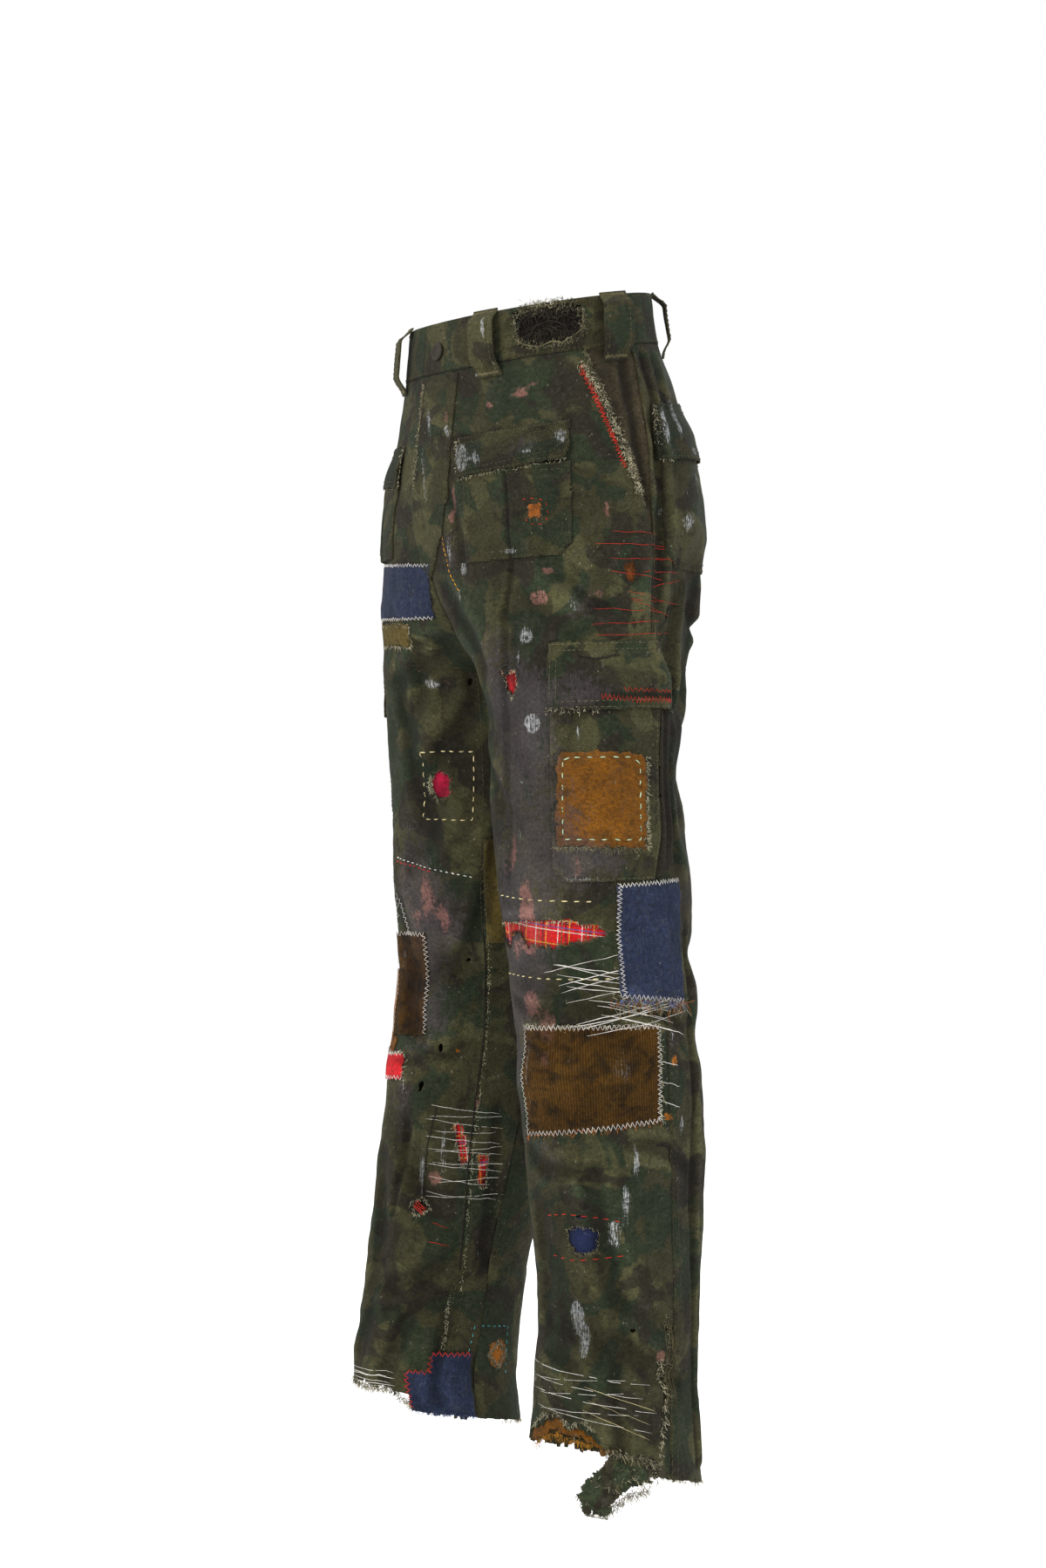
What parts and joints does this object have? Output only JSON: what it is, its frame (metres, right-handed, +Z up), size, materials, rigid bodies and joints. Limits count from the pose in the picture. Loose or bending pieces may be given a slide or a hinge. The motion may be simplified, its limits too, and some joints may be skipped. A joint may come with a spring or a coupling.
{
  "type": "cargo pants",
  "caption": "Worn, patched cargo pants with flapped patch and cargo pockets, belt loops and torn hems, standing open and hollow as if worn.",
  "frame": {"origin": "centre of the waist ring, level with the waistband's lower seam at the side, where the wearer's waist holds the trousers", "axes": "+Z up out of the waist, front faces -Y, the wearer's left is +X"},
  "size_m": [0.433, 0.2533, 1.1015],
  "materials": {
    "camouflage_drill": "matt cotton drill in a dark overdyed camouflage, worn, stained and flecked with paint",
    "drill_inside": "matt cotton drill, the darker inner side",
    "denim": "blue cotton denim, faded",
    "corduroy": "brown cotton corduroy, worn flat",
    "mustard_twill": "mustard cotton twill, dirty",
    "tartan": "red woven check",
    "red_cotton": "red cotton",
    "olive_twill": "olive cotton twill",
    "black_twill": "black cotton twill",
    "button": "dark worn button, half hidden in its buttonhole"
  },
  "bodies": {
    "root": {"back_flap_left": "camouflage_drill", "back_flap_right": "camouflage_drill", "back_left": "camouflage_drill", "back_pocket_left": "camouflage_drill", "back_pocket_right": "camouflage_drill", "back_right": "camouflage_drill", "belt_loop_back_left": "camouflage_drill", "belt_loop_back_right": "camouflage_drill", "belt_loop_center_back": "camouflage_drill", "belt_loop_front_left": "camouflage_drill", "belt_loop_front_right": "camouflage_drill", "belt_loop_side_left": "camouflage_drill", "belt_loop_side_right": "camouflage_drill", "cargo_flap_left": "camouflage_drill", "cargo_flap_right": "camouflage_drill", "cargo_gusset_left": "camouflage_drill", "cargo_gusset_right": "camouflage_drill", "cargo_pocket_left": "camouflage_drill", "cargo_pocket_right": "camouflage_drill", "fly_lap": "camouflage_drill", "front_flap_left": "camouflage_drill", "front_flap_right": "camouflage_drill", "front_left": "camouflage_drill", "front_pocket_left": "camouflage_drill", "front_pocket_right": "camouflage_drill", "front_right": "camouflage_drill", "gusset_right_inner_thigh": "olive_twill", "hem_rag_left": "drill_inside", "inset_black_waistband": "black_twill", "inset_brown_left_hip": "mustard_twill", "inset_crimson_right_thigh": "red_cotton", "inset_mustard_left_hem": "mustard_twill", "inset_navy_left_shin": "denim", "inset_orange_front_pocket": "mustard_twill", "inset_red_left_thigh": "red_cotton", "inset_tartan_left_knee": "tartan", "inset_tartan_right_shin": "tartan", "patch_corduroy_left_knee": "corduroy", "patch_corduroy_right_knee": "corduroy", "patch_denim_left_knee": "denim", "patch_denim_right_hem": "denim", "patch_denim_right_thigh": "denim", "patch_mustard_cargo_left": "mustard_twill", "patch_mustard_right_knee": "mustard_twill", "patch_olive_right_thigh": "olive_twill", "patch_red_right_knee": "red_cotton", "pocket_bearer_left": "drill_inside", "pocket_bearer_right": "drill_inside", "waist_button": "button", "waistband_left": "camouflage_drill", "waistband_right": "camouflage_drill"}
  },
  "joints": []
}
